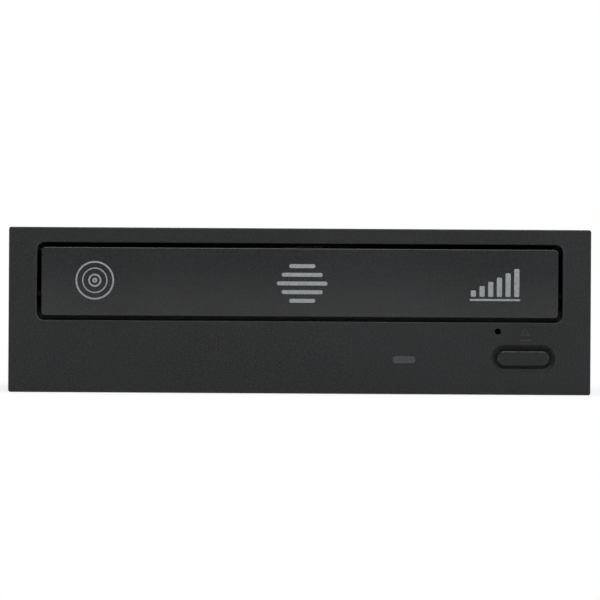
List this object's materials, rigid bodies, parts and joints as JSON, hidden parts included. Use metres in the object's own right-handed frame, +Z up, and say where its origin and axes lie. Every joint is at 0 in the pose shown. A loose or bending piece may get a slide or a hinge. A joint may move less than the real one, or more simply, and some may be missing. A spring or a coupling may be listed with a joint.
{
  "type": "internal dvd writer",
  "caption": "Half-height internal optical disc drive with a motor-driven tray, black front panel with eject button and lamp, plated steel case and a rear data and power port.",
  "frame": {"origin": "centre of the four mounting holes in the underside, on the plane of the underside", "axes": "+Y runs from the front panel to the rear port, +Z up, +X to the right seen from the front"},
  "size_m": [0.148, 0.1708, 0.042],
  "materials": {
    "panel_plastic": "fine satin texture, near black",
    "lamp_plastic": "smoked, smooth",
    "case_steel": "zinc plated sheet",
    "screw_steel": "nickel plated",
    "chassis_plastic": "moulded, fine texture",
    "tray_plastic": "moulded, smooth",
    "gear_plastic": "natural acetal",
    "magnet": "sintered",
    "motor_steel": "plated",
    "rod_steel": "ground and polished",
    "belt_rubber": "matt",
    "pad_silicone": "soft",
    "turntable_plastic": "smooth",
    "coil_copper": "enamelled wire",
    "sled_metal": "die cast",
    "sled_cover": "moulded",
    "holder_plastic": "moulded",
    "lens_glass": "coated",
    "board_laminate": "solder resist",
    "chip_plastic": "moulded",
    "capacitor_metal": "drawn cans",
    "socket_plastic": "moulded",
    "contact_metal": "gold plated",
    "ribbon_film": "film"
  },
  "bodies": {
    "case": {"front_panel": "panel_plastic", "lamp_window": "lamp_plastic", "top_cover": "case_steel", "bottom_cover": "case_steel", "case_screws": "screw_steel", "loader_chassis": "chassis_plastic", "chassis_front": "chassis_plastic", "clamp_bridge": "case_steel", "bridge_screws": "screw_steel", "loading_motor": "motor_steel", "motor_screws": "screw_steel", "drive_belt": "belt_rubber", "main_board": "board_laminate", "circuit_chips": "chip_plastic", "thermal_pad": "pad_silicone", "capacitors": "capacitor_metal", "board_sockets": "socket_plastic", "port_housing": "chip_plastic", "port_contacts": "contact_metal", "front_board": "board_laminate", "eject_switch": "chip_plastic", "indicator_lamp": "lamp_plastic", "front_ribbon": "ribbon_film", "board_screws": "screw_steel"},
    "tray": {"disc_tray": "tray_plastic", "tray_door": "panel_plastic"},
    "button": {"eject_button": "panel_plastic"},
    "motor_wheel": {"motor_pulley": "gear_plastic"},
    "first_gear": {"pulley_gear": "gear_plastic"},
    "second_gear": {"middle_gear": "gear_plastic"},
    "last_gear": {"drive_gear": "gear_plastic"},
    "slider": {"cam_slider": "gear_plastic"},
    "clamper": {"clamper_hub": "gear_plastic", "clamper_magnet": "magnet", "clamper_cap": "gear_plastic"},
    "lifting_unit": {"lift_frame": "chassis_plastic", "pickup_base": "motor_steel", "damper_bushes": "belt_rubber", "damper_screws": "screw_steel", "spindle_mount": "motor_steel", "spindle_coils": "coil_copper", "main_guide_rod": "rod_steel", "side_guide_rod": "rod_steel", "rod_holders": "gear_plastic", "sled_motor": "motor_steel", "sled_motor_bracket": "motor_steel"},
    "spindle": {"rotor_can": "motor_steel", "rotor_magnet": "magnet", "turntable": "turntable_plastic", "turntable_mat": "belt_rubber"},
    "sled_screw": {"lead_screw": "rod_steel"},
    "sled": {"pickup_body": "sled_metal", "pickup_cover": "sled_cover", "actuator_yoke": "motor_steel", "sled_nut": "gear_plastic"},
    "lens": {"lens_holder": "holder_plastic", "objective_lens": "lens_glass"}
  },
  "joints": [
    {"name": "tray_slide", "type": "slide", "parent": "case", "child": "tray", "axis": [0, -1, 0], "range_m": [0, 0.13]},
    {"name": "button_press", "type": "slide", "parent": "case", "child": "button", "axis": [0, 1, 0], "range_m": [0, 0.0008], "stiffness_N_per_m": 300, "springref_m": -0.004},
    {"name": "lift", "type": "hinge", "parent": "case", "child": "lifting_unit", "pos_m": [0, 0.06797, 0.021], "axis": [-1, 0, 0], "range_deg": [0, 5]},
    {"name": "cam_slide", "type": "slide", "parent": "case", "child": "slider", "axis": [1, 0, 0], "range_m": [0, 0.015]},
    {"name": "last_gear_spin", "type": "hinge", "parent": "case", "child": "last_gear", "pos_m": [-0.043, -0.06653, 0.019], "axis": [0, 0, 1], "continuous": true},
    {"name": "second_gear_spin", "type": "hinge", "parent": "case", "child": "second_gear", "pos_m": [-0.02305, -0.06792, 0.016], "axis": [0, 0, 1], "continuous": true},
    {"name": "first_gear_spin", "type": "hinge", "parent": "case", "child": "first_gear", "pos_m": [-0.00682, -0.06357, 0.018], "axis": [0, 0, 1], "continuous": true},
    {"name": "motor_wheel_spin", "type": "hinge", "parent": "case", "child": "motor_wheel", "pos_m": [0.032, -0.06352, 0.02], "axis": [0, 0, 1], "continuous": true},
    {"name": "clamper_spin", "type": "hinge", "parent": "case", "child": "clamper", "pos_m": [0, -0.02252, 0.037], "axis": [0, 0, 1], "continuous": true},
    {"name": "spindle_spin", "type": "hinge", "parent": "lifting_unit", "child": "spindle", "pos_m": [0, -0.02279, 0.02009], "axis": [0, -0.0872, 0.9962], "continuous": true},
    {"name": "sled_slide", "type": "slide", "parent": "lifting_unit", "child": "sled", "axis": [0, 0.9962, 0.0872], "range_m": [0, 0.034]},
    {"name": "sled_screw_spin", "type": "hinge", "parent": "lifting_unit", "child": "sled_screw", "pos_m": [0.0336, 0.01298, 0.0185], "axis": [0, 0.9962, 0.0872], "continuous": true},
    {"name": "lens_focus", "type": "slide", "parent": "sled", "child": "lens", "axis": [0, -0.0872, 0.9962], "range_m": [-0.0005, 0.0005], "stiffness_N_per_m": 19}
  ],
  "couplings": [
    {"joint": "last_gear_spin", "follows": "tray_slide", "rad_per_m": 111.11},
    {"joint": "second_gear_spin", "follows": "tray_slide", "rad_per_m": -285.71},
    {"joint": "first_gear_spin", "follows": "tray_slide", "rad_per_m": 714.29},
    {"joint": "motor_wheel_spin", "follows": "tray_slide", "rad_per_m": 2948.1},
    {"joint": "cam_slide", "follows": "lift", "m_per_rad": 0.17189},
    {"joint": "sled_screw_spin", "follows": "sled_slide", "rad_per_m": -2094.4}
  ]
}
